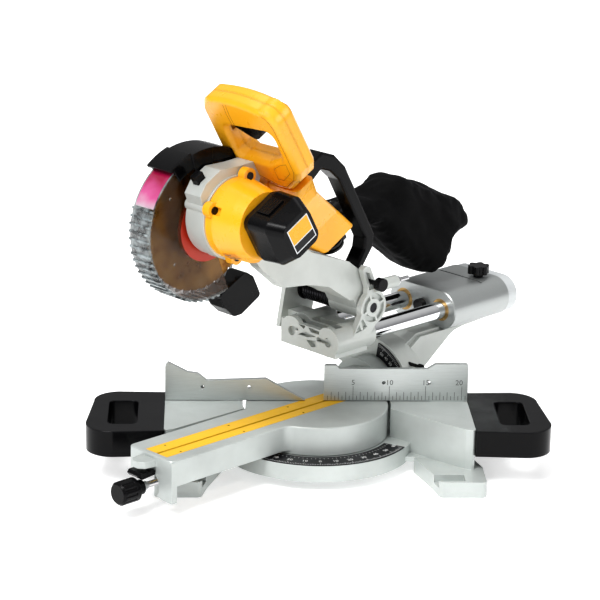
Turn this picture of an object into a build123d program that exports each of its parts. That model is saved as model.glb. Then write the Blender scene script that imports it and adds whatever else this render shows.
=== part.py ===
from build123d import *
import math
import os

# A cordless sliding mitre saw with a 184 mm blade, in millimetres.
# Origin: where the mitre axis meets the bench. +X runs right along the fence, +Y to the rear, +Z up.
# Three frames are used. TABLE has its zero on the table top. ARM turns with the mitre arm, whose
# front points along -Y. HEAD sits on the blade arbor, with +X along the arbor, +Z along the grip side
# of the head and +Y out of its upper side.

# ---- driving dimensions -------------------------------------------------------------------------
TABLE_HEIGHT = 78.0
MITRE_STOP = 48.0
HEAD_TILT = 30.0
HEAD_SWING = 39.5
BLADE_RADIUS = 92.0
BLADE_THICKNESS = 2.0
ARBOR_Y, ARBOR_Z = -221.0, 296.0
PIVOT_Y, PIVOT_Z = 49.9, 140.1
RAIL_SPACING = 70.0
RAIL_Z = 100.0
RAIL_RADIUS = 12.5
WING_HALF_WIDTH = 208.0
FENCE_FACE_Y = 9.0
DISC_RADIUS = 98.0
RING_RADIUS = 133.0
HANDLE_REACH = 312.0
MOTOR_Y, MOTOR_Z = 18.8, 9.8
RUNNING_FIT = 0.05
GAP = 0.4

TABLE = Location((0, 0, TABLE_HEIGHT))
ARM = TABLE * Location((0, 0, 0), (0, 0, -MITRE_STOP))
HEAD = ARM * Location((0, ARBOR_Y, ARBOR_Z), (HEAD_TILT, 0, 0))

os.makedirs("parts", exist_ok=True)


def save(name, frame, *pieces):
    """Writes one node, its pieces moved from their frame to the saw's own frame."""
    solids = []
    for piece in pieces:
        solids.extend(piece.solids())
    moved = [frame * solid for solid in solids]
    shape = moved[0] if len(moved) == 1 else Compound(children=moved)
    export_step(shape, f"parts/{name}.step")


# ---- shape helpers ------------------------------------------------------------------------------
def box(x0, x1, y0, y1, z0, z1):
    """A block between two corners."""
    return Pos((x0 + x1) / 2, (y0 + y1) / 2, (z0 + z1) / 2) * Box(x1 - x0, y1 - y0, z1 - z0)


def rod_x(radius, x0, x1, y=0.0, z=0.0):
    """A round bar along X."""
    return Pos((x0 + x1) / 2, y, z) * Rot(0, 90, 0) * Cylinder(radius, x1 - x0)


def rod_y(radius, y0, y1, x=0.0, z=0.0):
    """A round bar along Y."""
    return Pos(x, (y0 + y1) / 2, z) * Rot(90, 0, 0) * Cylinder(radius, y1 - y0)


def rod_z(radius, z0, z1, x=0.0, y=0.0):
    """A round bar along Z."""
    return Pos(x, y, (z0 + z1) / 2) * Cylinder(radius, z1 - z0)


def slab_z(points, z0, z1):
    """A plate with a straight-sided outline in plan, between two heights."""
    return Pos(0, 0, z0) * extrude(make_face(Polyline(*points, close=True)), z1 - z0)


def slab_x(points, x0, x1):
    """A plate whose outline is given as (y, z) points, between two values of X."""
    face = make_face(Polyline(*points, close=True))
    return Pos(x0, 0, 0) * extrude(Plane.YZ * face, x1 - x0)


def slab_y(points, y0, y1):
    """A plate whose outline is given as (x, z) points, between two values of Y."""
    face = make_face(Polyline(*points, close=True))
    return Pos(0, y1, 0) * extrude(Plane.XZ * face, y1 - y0)


def hexagon(radius, x=0.0, y=0.0):
    """The six corners of a hexagon."""
    turns = [math.radians(60 * corner) for corner in range(6)]
    return [(x + radius * math.cos(turn), y + radius * math.sin(turn)) for turn in turns]


def soften(shape, radius, axis=Axis.Z, pick=lambda edges: edges):
    """Rounds the edges that run along one axis."""
    return fillet(pick(shape.edges().filter_by(axis)), radius)


def sector(inner, outer, start_deg, end_deg, x0, x1):
    """A slice of a ring about the X axis. Angles run from +Y towards +Z."""
    middle = (start_deg + end_deg) / 2
    half = (end_deg - start_deg) / 2
    reach = outer * 1.6

    def ray(angle):
        turn = math.radians(angle)
        return (reach * math.cos(turn), reach * math.sin(turn))

    steps = [-half, -half / 2, 0.0, half / 2, half]
    wedge = slab_x([(0, 0)] + [ray(middle + step) for step in steps], x0, x1)
    return (rod_x(outer, x0, x1) - rod_x(inner, x0 - 1, x1 + 1)) & wedge


def mirrored(shape):
    """The same shape on the other side of the saw."""
    return mirror(shape, Plane.YZ)


# ---- base ---------------------------------------------------------------------------------------
WING_FLOOR = -56.0
RING_TOP = -41.0
RING_BOTTOM = -64.0
WALL = 5.0
BOLT_X, BOLT_Y = 172.0, 135.0
BOLT_RADIUS = 4.5
PIVOT_BOLT_RADIUS = 8.0
SCALE_THICKNESS = 1.2


def wing(inset=0.0):
    """The right-hand wing of the table, or the cavity inside it when inset."""
    outline = [
        (90 + inset, 12 - inset),
        (90 + inset, -20 + inset),
        (99, -20 + inset),
        (195, -102 + inset),
        (WING_HALF_WIDTH - inset, -107 + inset),
        (WING_HALF_WIDTH - inset, 56 - inset),
        (176, 56 - inset),
        (127, 12 - inset),
    ]
    top = -6.0 if inset else 0.0
    bottom = WING_FLOOR - 1 if inset else WING_FLOOR
    return slab_z(outline, bottom, top) - rod_z(DISC_RADIUS + 4 + inset, WING_FLOOR - 2, 1)


def foot(rear):
    """A bench foot with its bolt hole, at the front or the rear right corner."""
    sign = 1 if rear else -1
    outline = [
        (128, sign * 52),
        (150, sign * 118),
        (158, sign * 152),
        (220, sign * 152),
        (220, sign * 96),
        (206, sign * 50),
    ]
    pad = soften(slab_z(outline, -TABLE_HEIGHT, WING_FLOOR), 7)
    recess = Pos(BOLT_X, sign * BOLT_Y, -60) * Box(40, 22, 12)
    return pad - recess - rod_z(BOLT_RADIUS, -80, -50, BOLT_X, sign * BOLT_Y)


def base_casting():
    """The cast base: two hollow wings, four feet and the ring that the turntable turns in."""
    ring = rod_z(RING_RADIUS, RING_BOTTOM, RING_TOP) - rod_z(RING_RADIUS - 8, RING_BOTTOM - 1, RING_TOP - 6)
    hub = rod_z(26, RING_BOTTOM, RING_TOP)
    spokes = [
        Rot(0, 0, turn) * box(20, RING_RADIUS - 5, -4, 4, RING_BOTTOM + 4, RING_TOP - 3)
        for turn in range(0, 360, 24)
    ]
    body = ring + hub
    for spoke in spokes:
        body += spoke
    rounded = soften(wing(), 4, pick=lambda edges: edges.filter_by(lambda e: e.center().X > 190))
    rib = wing() & box(150, 155, -120, 70, WING_FLOOR, -5)
    half = rounded - wing(WALL) + rib + foot(rear=False) + foot(rear=True)
    half += box(118, 160, -60, 56, -62, WING_FLOOR + 1) - rod_z(RING_RADIUS - 4, -70, -50)
    body += half + mirrored(half)
    return body - rod_z(PIVOT_BOLT_RADIUS, RING_BOTTOM - 1, RING_TOP + 1)


def mitre_scale_plate():
    """The flat scale that lies on the front of the base ring."""
    span = 62
    points = [(0, 0)]
    for step in range(-2, 3):
        turn = math.radians(-90 + span * step / 2)
        points.append((230 * math.cos(turn), 230 * math.sin(turn)))
    ring = rod_z(RING_RADIUS - 0.5, RING_TOP, RING_TOP + SCALE_THICKNESS)
    ring -= rod_z(DISC_RADIUS + 4, RING_TOP - 1, RING_TOP + 3)
    return ring & slab_z(points, RING_TOP - 1, RING_TOP + 3)


def side_handle():
    """The right-hand carry handle, a plastic loop bolted to the end of the wing."""
    with BuildSketch() as outline:
        with BuildLine():
            Polyline((WING_HALF_WIDTH, 44), (272, 46))
            ThreePointArc((272, 46), (297, 33), (305, 8))
            Polyline((305, 8), (HANDLE_REACH, -70))
            ThreePointArc((HANDLE_REACH, -70), (304, -101), (276, -114))
            Polyline((276, -114), (WING_HALF_WIDTH, -109), (WING_HALF_WIDTH, 44))
        make_face()
    loop = Pos(0, 0, -36) * extrude(outline.sketch, 36)
    window = Pos(264, -38, -18) * RectangleRounded(40, 92, 9)
    return loop - Pos(0, 0, -22) * extrude(window, 44)


FENCE_THICKNESS = 7.0
FENCE_FOOT_Y = 38.0
FENCE_FOOT_X = 156.0
FENCE_SCREWS_X = (166, 194)
FENCE_SCREW_Y = 29.0


def fence_foot():
    """The flat foot of a fence on the wing, with a gusset behind the upright."""
    flange = box(FENCE_FOOT_X, 204, FENCE_FACE_Y, FENCE_FOOT_Y, 0, 7)
    gusset = slab_x([(FENCE_FACE_Y + 3, 5), (FENCE_FOOT_Y - 4, 5), (FENCE_FACE_Y + 3, 38)], 177, 183)
    return flange + gusset


def fence_right():
    """The fixed right-hand fence, a tall plate that passes in front of the turntable's rear."""
    outline = [
        (10, 1), (10, 50), (12, 52), (26, 52), (31, 47),
        (152, 47), (163, 54), (206, 54), (208, 52), (208, 1),
    ]
    plate = slab_y(outline, FENCE_FACE_Y, FENCE_FACE_Y + FENCE_THICKNESS)
    holes = [rod_y(2.5, 0, 30, x, 27) for x in (92, 155)]
    body = plate + fence_foot()
    for hole in holes:
        body -= hole
    for x in FENCE_SCREWS_X:
        body -= rod_z(3.4, -1, 8, x, FENCE_SCREW_Y)
    return body


def fence_slide_base():
    """The left-hand rail that the sliding fence runs on."""
    rail_front = FENCE_FACE_Y + FENCE_THICKNESS + 1.5
    body = box(-204, -FENCE_FOOT_X, rail_front, FENCE_FOOT_Y, 0, 7)
    body += box(-204, -FENCE_FOOT_X, rail_front, rail_front + 6, 0, 26)
    for x in FENCE_SCREWS_X:
        body -= rod_z(3.4, -1, 8, -x, FENCE_SCREW_Y)
    return body - box(-210, -100, 0, 40, 13, 17)


def fence_left():
    """The sliding left-hand fence, cut away at its inner end for bevel cuts."""
    outline = [
        (-208, 1),
        (-208, 50),
        (-204, 55),
        (-177, 41),
        (-163, 39),
        (-151, 29),
        (-70, 32),
        (-16, 1),
    ]
    plate = slab_y(outline, FENCE_FACE_Y, FENCE_FACE_Y + FENCE_THICKNESS)
    for x in (-157, -93):
        plate -= rod_y(2.5, 0, 30, x, 20)
    return plate


def fence_guide():
    """The key behind the sliding fence, running in the slot of its rail."""
    return box(-176, -158, FENCE_FACE_Y + FENCE_THICKNESS, 23, 13.4, 16.6)


def fence_screws():
    """Cap screws that hold both fence feet to the wings."""
    screws = []
    for side in (-1, 1):
        for reach in FENCE_SCREWS_X:
            x = side * reach
            head = rod_z(4.6, 7, 12, x, FENCE_SCREW_Y) - rod_z(2.4, 9, 13, x, FENCE_SCREW_Y)
            screws.append(head + rod_z(3.35, 0.2, 7, x, FENCE_SCREW_Y))
    return screws


def mitre_pivot_bolt():
    """The shouldered bolt that the turntable turns on."""
    shank = rod_z(PIVOT_BOLT_RADIUS, RING_BOTTOM - 6, -12)
    head = slab_z(hexagon(15), -72, RING_BOTTOM)
    return shank + head


# ---- turntable and mitre arm (ARM frame) -----------------------------------------------------------
ARM_LEFT, ARM_RIGHT = -49.0, 37.0
ARM_FRONT = -297.0
ARM_FLOOR = -35.0
DISC_FLOOR = -39.4
KERF_LEFT, KERF_RIGHT = -23.0, 19.0
KERF_FRONT = -289.5
KERF_REAR = 58.0
KERF_THICKNESS = 2.6
SLOT_FRONT = -287.0
HUB_RADIUS = 47.0
KERF_SCREWS = [(x, y) for x in (-16, 14.5) for y in (-262, -150, -40, 40)]
KNOB_X, KNOB_Z = -6.0, -42.0
KNOB_CLEARANCE = 18.5
DETENT_PIVOT_Y, DETENT_PIVOT_Z = -302.0, -22.5
DRUM_FLOOR = -36.0
HUB_FRONT = 80.0
HUB_REAR = 107.6


def arm_outline(inset=0.0):
    """The arm and its flared root in plan."""
    return [
        (ARM_LEFT + inset, -60),
        (ARM_LEFT + inset, ARM_FRONT + inset),
        (ARM_RIGHT - inset, ARM_FRONT + inset),
        (ARM_RIGHT - inset, -60),
    ]


def turntable_casting():
    """The turntable disc with the mitre arm in front and the bevel hub behind."""
    disc = rod_z(DISC_RADIUS, DISC_FLOOR, 0)
    arm = soften(slab_z(arm_outline(), ARM_FLOOR, 0), 8, pick=lambda edges: edges.group_by(Axis.Y)[0])
    body = disc + arm
    corners = body.edges().filter_by(Axis.Z)
    roots = [e for e in corners if -95 < e.center().Y < -80 and abs(e.center().X) < 60]
    body = fillet(roots, 15)
    body = chamfer(body.faces().sort_by(Axis.Z)[-1].edges(), 1.2)
    skirt_outline = [(ARM_RIGHT, -2), (ARM_RIGHT, -58), (20, -58), (-12, -50), (-30, -34), (-30, -2)]
    skirt = slab_y(skirt_outline, ARM_FRONT, ARM_FRONT + 9)
    nose_back = ARM_FRONT + 4
    nose_outline = [(-24, nose_back), (-20, -314), (-13, -320), (-3, -320), (4, -314), (8, nose_back)]
    nose = slab_z(nose_outline, -14, -5)
    body += skirt + nose
    body -= slab_z(arm_outline(WALL), ARM_FLOOR - 30, -9) - rod_z(DISC_RADIUS - 6, -80, 0)
    body -= rod_z(DISC_RADIUS - 7, DISC_FLOOR - 1, -9) - rod_z(24, -60, 0)
    for turn in range(0, 360, 36):
        body += Rot(0, 0, turn) * box(22, DISC_RADIUS - 6, -2, 2, DISC_FLOOR + 2, -8)
    for y in (-255, -210, -165, -120):
        body += box(ARM_LEFT + 4, ARM_RIGHT - 4, y - 2, y + 2, ARM_FLOOR + 1, -8)
    neck = box(-44, 44, 60, HUB_REAR, DRUM_FLOOR, -9)
    hub = rod_y(HUB_RADIUS, HUB_FRONT, HUB_REAR) + rod_y(36, HUB_FRONT - 11, HUB_FRONT)
    body += neck + hub - box(-60, 60, 50, 120, -60, DRUM_FLOOR)
    body -= rod_y(10 + RUNNING_FIT, 40, 120)
    body -= box(KERF_LEFT, KERF_RIGHT, KERF_FRONT, KERF_REAR, -KERF_THICKNESS, 1)
    body -= box(-9, 12, SLOT_FRONT, 52, -30, 1)
    body -= rod_y(KNOB_CLEARANCE, -310, -280, KNOB_X, KNOB_Z)
    for x, y in KERF_SCREWS:
        body -= rod_z(1.65, -7, 0, x, y)
    body -= rod_z(PIVOT_BOLT_RADIUS + RUNNING_FIT, -60, -10.5)
    return body


def kerf_plate(left):
    """One of the two kerf boards beside the blade, its inner edge undercut for bevel cuts."""
    if left:
        outer = KERF_LEFT + 0.3
        section = [(outer, -KERF_THICKNESS), (outer, 0), (-2.0, 0), (-2.0, -KERF_THICKNESS)]
    else:
        outer = KERF_RIGHT - 0.3
        section = [(2.0, 0), (outer, 0), (outer, -KERF_THICKNESS), (5.6, -KERF_THICKNESS)]
    plate = slab_y(section, KERF_FRONT + 0.3, KERF_REAR - 0.3)
    for x, y in KERF_SCREWS:
        plate -= rod_z(1.7, -5, 1, x, y)
    return plate


def kerf_screws():
    """Small countersunk screws that hold the kerf boards down."""
    return [rod_z(1.65, -6, -0.4, x, y) for x, y in KERF_SCREWS]


def mitre_lock_knob():
    """The ribbed knob on the end of the mitre lock screw."""
    knob = rod_y(16, -352, -324, KNOB_X, KNOB_Z) + rod_y(10, -324, -312, KNOB_X, KNOB_Z)
    knob = chamfer(knob.edges().group_by(Axis.Y)[0], 3)
    for turn in range(0, 360, 30):
        angle = math.radians(turn)
        knob -= rod_y(2.4, -360, -330, KNOB_X + 17.2 * math.cos(angle), KNOB_Z + 17.2 * math.sin(angle))
    return knob - rod_y(6, -330, -300, KNOB_X, KNOB_Z)


def mitre_lock_screw():
    """The long screw from the knob to the base ring's clamp face."""
    return rod_y(6, -330, -304, KNOB_X, KNOB_Z) + rod_y(4.5, -304, -142, KNOB_X, KNOB_Z)


def detent_lever():
    """The squeeze lever that lifts the mitre detent, under the nose of the arm."""
    back = ARM_FRONT - 1
    lever = slab_x([(back, -25), (-320, -27), (-323, -23), (-320, -19), (back, -19)], -21, 6)
    return lever - rod_x(1.2, -22, 7, DETENT_PIVOT_Y, DETENT_PIVOT_Z)


# ---- bevel arm (ARM frame) ----------------------------------------------------------------------------
DRUM_RADIUS = 72.0
DRUM_FRONT = HUB_REAR + GAP
DRUM_REAR = 142.0
HOUSING_FRONT, HOUSING_REAR = 207.0, 322.0
HOUSING_HALF_HEIGHT = 28.0
BEVEL_SHAFT_RADIUS = 10.0
STOP_PIN_RADIUS = 2.5
STOP_PIN_Y, STOP_PIN_Z = 124.0, 44.0


def stadium(half_height, half_length, y0, y1):
    """A bar along Y with a stadium-shaped section that holds both rails."""
    body = box(-half_length, half_length, y0, y1, RAIL_Z - half_height, RAIL_Z + half_height)
    for side in (-1, 1):
        body += rod_y(half_height, y0, y1, side * half_length, RAIL_Z)
    return body


def drum_sector(outer, inner, start_deg, end_deg, y0, y1):
    """A slice of a ring about the bevel axis. Angles run from +X towards +Z."""
    reach = outer * 2
    points = [(0, 0)]
    for step in range(5):
        turn = math.radians(start_deg + (end_deg - start_deg) * step / 4)
        points.append((reach * math.cos(turn), reach * math.sin(turn)))
    ring = rod_y(outer, y0, y1) - rod_y(inner, y0 - 1, y1 + 1)
    return ring & slab_y(points, y0, y1)


def bevel_arm():
    """The bevel drum and the arm that rises from it to the rail housing."""
    drum = drum_sector(DRUM_RADIUS, 0.1, -28, 160, DRUM_FRONT, DRUM_REAR)
    drum += rod_y(24, DRUM_FRONT, DRUM_REAR + 6)
    top = [(112, 0), (112, 50), (130, 60), (160, 75), (300, 75)]
    underside = [(300, 68), (256, 66), (222, 60), (172, 22), (153, 17), (147, 8), (142, 0)]
    arm = slab_x(top + underside, -30, 34)
    rib = slab_x([(130, 50), (162, 71), (244, 71), (224, 62), (171, 24), (140, 16)], 34, 40)
    body = drum + arm + rib
    body -= rod_y(BEVEL_SHAFT_RADIUS + RUNNING_FIT, 60, 160)
    body -= rod_x(STOP_PIN_RADIUS + RUNNING_FIT, 50, 90, STOP_PIN_Y, STOP_PIN_Z)
    return body - stadium(HOUSING_HALF_HEIGHT, 35, HOUSING_FRONT, 330)


def rail_housing():
    """The stadium-shaped housing that guides both rails, split at the top for its clamp."""
    body = stadium(HOUSING_HALF_HEIGHT, 35, HOUSING_FRONT, HOUSING_REAR)
    body = chamfer(body.faces().sort_by(Axis.Y)[0].outer_wire().edges(), 1.5)
    body -= stadium(HOUSING_HALF_HEIGHT - 6, 35, HOUSING_FRONT + 10, HOUSING_REAR - 10)
    for side in (-1, 1):
        x = side * RAIL_SPACING / 2
        body -= rod_y(RAIL_RADIUS + 3.5, HOUSING_FRONT - 1, HOUSING_REAR + 1, x, RAIL_Z)
    body -= box(-38, 44, 281, 284, RAIL_Z + 20, RAIL_Z + 30)
    body -= rod_z(4.2, RAIL_Z + 10, RAIL_Z + 30, 22, 300)
    return body


def rail_bushes():
    """Four plain bushes between the rails and the housing."""
    bushes = []
    for side in (-1, 1):
        for y0 in (HOUSING_FRONT + 0.5, HOUSING_REAR - 24):
            outer = rod_y(RAIL_RADIUS + 3.5, y0, y0 + 23, side * RAIL_SPACING / 2, RAIL_Z)
            bore = rod_y(RAIL_RADIUS + RUNNING_FIT, y0 - 1, y0 + 24, side * RAIL_SPACING / 2, RAIL_Z)
            bushes.append(outer - bore)
    return bushes


def slide_bumper():
    """The rubber stop between the rails on the front of the housing."""
    return rod_y(9, HOUSING_FRONT - 9, HOUSING_FRONT, 0, RAIL_Z)


def bevel_shaft():
    """The shaft that the bevel arm turns on, fixed in the turntable."""
    return rod_y(BEVEL_SHAFT_RADIUS, 72, 168)


def bevel_scale():
    """The curved scale plate on the front of the bevel drum."""
    return drum_sector(DRUM_RADIUS - 4, HUB_RADIUS + 1, 20, 80, DRUM_FRONT - 1.4, DRUM_FRONT)


def bevel_stop_pin():
    """The small knob of the bevel stop, on the right of the drum."""
    shank = rod_x(STOP_PIN_RADIUS, 54, 74, STOP_PIN_Y, STOP_PIN_Z)
    return shank + rod_x(4.5, 74, 80, STOP_PIN_Y, STOP_PIN_Z)


def bevel_lock_lever():
    """The clamp lever behind the bevel drum."""
    hub = rod_y(14, 156, 172)
    blade = slab_y([(-9, 0), (9, 0), (7, -14), (7, -30), (-7, -30), (-7, -14)], 160, 170)
    grip = rod_y(8.5, 158, 196, 0, -28)
    return hub + blade + grip - rod_y(BEVEL_SHAFT_RADIUS + RUNNING_FIT, 140, 168.5)


def rail_lock_knob():
    """The star knob that clamps the rails in the housing."""
    z0 = RAIL_Z + HOUSING_HALF_HEIGHT
    knob = rod_z(12, z0 + 5, z0 + 17, 22, 300) + rod_z(7, z0 + 0.5, z0 + 5, 22, 300)
    for turn in range(0, 360, 60):
        angle = math.radians(turn)
        knob += rod_z(4.2, z0 + 5, z0 + 17, 22 + 11.5 * math.cos(angle), 300 + 11.5 * math.sin(angle))
    return knob + rod_z(4.1, RAIL_Z + 18, z0 + 1, 22, 300)


# ---- slide carriage (ARM frame) ---------------------------------------------------------------------
BRACKET_FRONT = -17.0
RAIL_FRONT = 4.0
RAIL_REAR = 338.0
EAR_RIGHT_INNER, EAR_RIGHT_OUTER = 46.0, 55.0
EAR_LEFT_INNER, EAR_LEFT_OUTER = -76.0, -83.0
PIVOT_RADIUS = 7.0
STOP_X, STOP_Z = 54.6, 170.0
LOCK_Y, LOCK_Z = 44.0, 178.0
LOCK_PIN_RADIUS = 3.4
LOCK_KNOB_X = 67.4
LOCK_DEPTH = 3.0


def slide_rails():
    """Two chromed tubes that carry the head."""
    rails = []
    for side in (-1, 1):
        x = side * RAIL_SPACING / 2
        bore = rod_y(RAIL_RADIUS - 3, RAIL_FRONT - 1, RAIL_REAR + 1, x, RAIL_Z)
        rails.append(rod_y(RAIL_RADIUS, RAIL_FRONT, RAIL_REAR, x, RAIL_Z) - bore)
    return rails


def rail_end_cap():
    """The cap that ties the rear ends of the rails together and stops the slide."""
    body = stadium(HOUSING_HALF_HEIGHT - 1.5, 35, HOUSING_REAR + GAP, 345)
    body = chamfer(body.faces().sort_by(Axis.Y)[-1].outer_wire().edges(), 4)
    for side in (-1, 1):
        body -= rod_y(RAIL_RADIUS, 320, RAIL_REAR, side * RAIL_SPACING / 2, RAIL_Z)
    return body


def ear_right():
    """The bracket's right ear, with its sunk pockets and the spoked ring round the pivot."""
    outline = [
        (12, 106), (27, 134), (36, 147), (38, 170), (27, 197), (33, 202),
        (42, 199), (50, 181), (66, 157), (70, 141), (62, 123), (40, 100),
    ]
    ear = slab_x(outline, EAR_RIGHT_INNER, EAR_RIGHT_OUTER)
    ear += rod_x(24, EAR_RIGHT_INNER, EAR_RIGHT_OUTER, PIVOT_Y, PIVOT_Z)
    floor = EAR_RIGHT_OUTER - 4
    ear -= slab_x([(32, 194), (40, 191), (45, 178), (43, 170), (40, 178)], floor, 60)
    ear -= slab_x([(26, 126), (30, 128), (38, 116), (31, 112)], floor, 60)
    ear -= slab_x([(16, 110), (23, 122), (28, 112)], floor, 60)
    groove = rod_x(20, floor, 60, PIVOT_Y, PIVOT_Z) - rod_x(13, 40, 61, PIVOT_Y, PIVOT_Z)
    for spoke in range(4):
        groove -= Pos(0, PIVOT_Y, PIVOT_Z) * Rot(90 * spoke + 20, 0, 0) * box(40, 61, 0, 30, -1.6, 1.6)
    return ear - groove


def carriage_bracket():
    """The cast bracket on the front of the rails, with two ears for the head pivot."""
    body = box(-55, 50, BRACKET_FRONT, 44, RAIL_Z - 20, RAIL_Z + 14)
    body += box(-80, 52, 16, 44, RAIL_Z - 4, RAIL_Z + 14)
    for side in (-1, 1):
        body += rod_y(RAIL_RADIUS + 8, BRACKET_FRONT, 56, side * RAIL_SPACING / 2, RAIL_Z)
    left_outline = [(0, 92), (14, 166), (50, 164), (72, 141), (60, 96), (38, 88)]
    left = slab_x(left_outline, EAR_LEFT_OUTER, EAR_LEFT_INNER)
    body += ear_right() + left
    body -= box(-22, 22, 8, 24, RAIL_Z - 25, RAIL_Z + 20)
    body -= box(-48, 42, BRACKET_FRONT + 8, 4, RAIL_Z + 2, RAIL_Z + 30)
    pocket_floor = BRACKET_FRONT + 6
    pockets = [
        [(-23, 113), (-8, 113), (-11, 108)],
        [(-3, 112.5), (19, 112), (18, 107), (3, 107)],
        [(-23, 98), (-4, 98), (12, 103), (-7, 105)],
        [(-6, 94), (12, 97), (12, 88), (4, 86)],
        [(-36, 103), (-22, 103), (-22, 107), (-36, 107)],
        [(14, 97), (36, 97), (36, 103), (14, 103)],
    ]
    for pocket in pockets:
        body -= slab_y(pocket, BRACKET_FRONT - 1, pocket_floor)
    for side in (-1, 1):
        x = side * RAIL_SPACING / 2
        body -= rod_y(6.5, BRACKET_FRONT - 1, pocket_floor, x, RAIL_Z)
        body -= rod_y(RAIL_RADIUS, RAIL_FRONT, 60, x, RAIL_Z)
    body += rod_y(8.4, 50, 92, STOP_X, STOP_Z)
    body -= rod_y(3 + RUNNING_FIT, 40, 100, STOP_X, STOP_Z)
    body -= rod_x(LOCK_PIN_RADIUS + RUNNING_FIT, 30, 66, LOCK_Y, LOCK_Z)
    return body - rod_x(PIVOT_RADIUS, -90, 60, PIVOT_Y, PIVOT_Z)


def head_pivot_pin():
    """The pin through both ears that the head swings on."""
    return rod_x(PIVOT_RADIUS, EAR_LEFT_OUTER + 1, EAR_RIGHT_OUTER - 1, PIVOT_Y, PIVOT_Z)


def depth_stop_screw():
    """The depth stop screw with its lock nut."""
    nut = slab_y(hexagon(6.5, STOP_X, STOP_Z), 92, 97)
    return rod_y(3, 52, 116, STOP_X, STOP_Z) + nut


def head_lock_pin():
    """The pull pin that locks the head down for carrying."""
    knob = rod_x(9, LOCK_KNOB_X, LOCK_KNOB_X + 10, LOCK_Y, LOCK_Z)
    return knob + rod_x(LOCK_PIN_RADIUS, EAR_RIGHT_INNER + 0.5, LOCK_KNOB_X, LOCK_Y, LOCK_Z)


def torsion_spring():
    """The coil spring on the pivot that lifts the head."""
    coils = 11
    length = 52.0
    radius = 14.0
    wire = 2.1
    path = Helix(pitch=length / coils, height=length, radius=radius)
    start = path @ 0
    section = Plane(origin=start, z_dir=path % 0) * Circle(wire)
    coil = sweep(section, path)
    return Pos(-70, PIVOT_Y, PIVOT_Z) * Rot(0, 90, 0) * coil


def spring_bush():
    """The plastic bush inside the torsion spring, at its left end."""
    sleeve = rod_x(11.4, -75.6, -40, PIVOT_Y, PIVOT_Z) + rod_x(17, -75.6, -72.5, PIVOT_Y, PIVOT_Z)
    return sleeve - rod_x(PIVOT_RADIUS, -80, -30, PIVOT_Y, PIVOT_Z)


# ---- head castings and shells (HEAD frame) ------------------------------------------------------------
TILT = math.radians(HEAD_TILT)
PIVOT_HEAD_Y = (PIVOT_Y - ARBOR_Y) * math.cos(TILT) + (PIVOT_Z - ARBOR_Z) * math.sin(TILT)
PIVOT_HEAD_Z = -(PIVOT_Y - ARBOR_Y) * math.sin(TILT) + (PIVOT_Z - ARBOR_Z) * math.cos(TILT)
GUARD_INNER = 94.5
GUARD_OUTER = 97.0
RIB_OUTER = 99.5
UPPER_INNER = 100.4
UPPER_OUTER = 103.4
GUARD_HALF_WIDTH = 19.0
UPPER_HALF_WIDTH = 22.4
NOSE_RADIUS = 28.0
CASE_LEFT, CASE_RIGHT = 24.0, 58.0
CASE_RADIUS = 54.0
SCREW_OFFSETS = [(-31, 40), (-31, -38), (38, 40), (38, -38)]
ARM_RIGHT_FACE = 44.0
SPRING_SIDE = -13.0
GRIP_Y = 96.6
GRIP_HALF_THICKNESS = 17.5
MOTOR_END = 112.0


def lock_pin_in_head(swing):
    """Where the lock pin stands in the head's frame once the head has swung down by an angle."""
    turn = math.radians(-HEAD_TILT - swing)
    dy, dz = LOCK_Y - PIVOT_Y, LOCK_Z - PIVOT_Z
    y = PIVOT_HEAD_Y + dy * math.cos(turn) - dz * math.sin(turn)
    z = PIVOT_HEAD_Z + dy * math.sin(turn) + dz * math.cos(turn)
    return y, z


def head_arm():
    """The smooth cast arm from the gearcase to the pivot, with a hood over the spring."""
    spine = slab_x(
        [
            (20, -34), (28, -90), (46, -140), (84, -168), (112, -196), (134, -240), (150, -252),
            (172, -252), (176, -232), (158, -190), (110, -132), (84, -80), (66, -34),
        ],
        26,
        ARM_RIGHT_FACE,
    )
    hood_outline = [
        (100, -178), (112, -196), (134, -240), (150, -252),
        (172, -252), (176, -232), (158, -190), (124, -156),
    ]
    spread = slab_x(hood_outline, -72, 27)
    spread &= slab_z([(-72, 126), (-72, 190), (27, 190), (27, 96), (-20, 104)], -270, -140)
    knuckle = rod_x(19, SPRING_SIDE, ARM_RIGHT_FACE, PIVOT_HEAD_Y, PIVOT_HEAD_Z)
    link = box(SPRING_SIDE, ARM_RIGHT_FACE, 140, 174, -268, -235)
    body = spine + spread + knuckle + link - rod_x(CASE_RADIUS, 20, 60, MOTOR_Y, MOTOR_Z)
    for boss in screw_bosses(7.5, 20, 60):
        body -= boss
    body -= rod_x(23, -80, SPRING_SIDE, PIVOT_HEAD_Y, PIVOT_HEAD_Z)
    body -= box(-66, SPRING_SIDE - 6, 130, 160, -262, -200)
    body -= rod_x(PIVOT_RADIUS + RUNNING_FIT, -90, 60, PIVOT_HEAD_Y, PIVOT_HEAD_Z)
    for swing in (0.0, HEAD_SWING):
        lock_y, lock_z = lock_pin_in_head(swing)
        body -= rod_x(LOCK_PIN_RADIUS + 1, ARM_RIGHT_FACE - LOCK_DEPTH, ARM_RIGHT_FACE + 1, lock_y, lock_z)
    return body


def screw_bosses(radius, x0, x1):
    """Round bars at the four motor screw positions."""
    return [rod_x(radius, x0, x1, MOTOR_Y + dy, MOTOR_Z + dz) for dy, dz in SCREW_OFFSETS]


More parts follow.
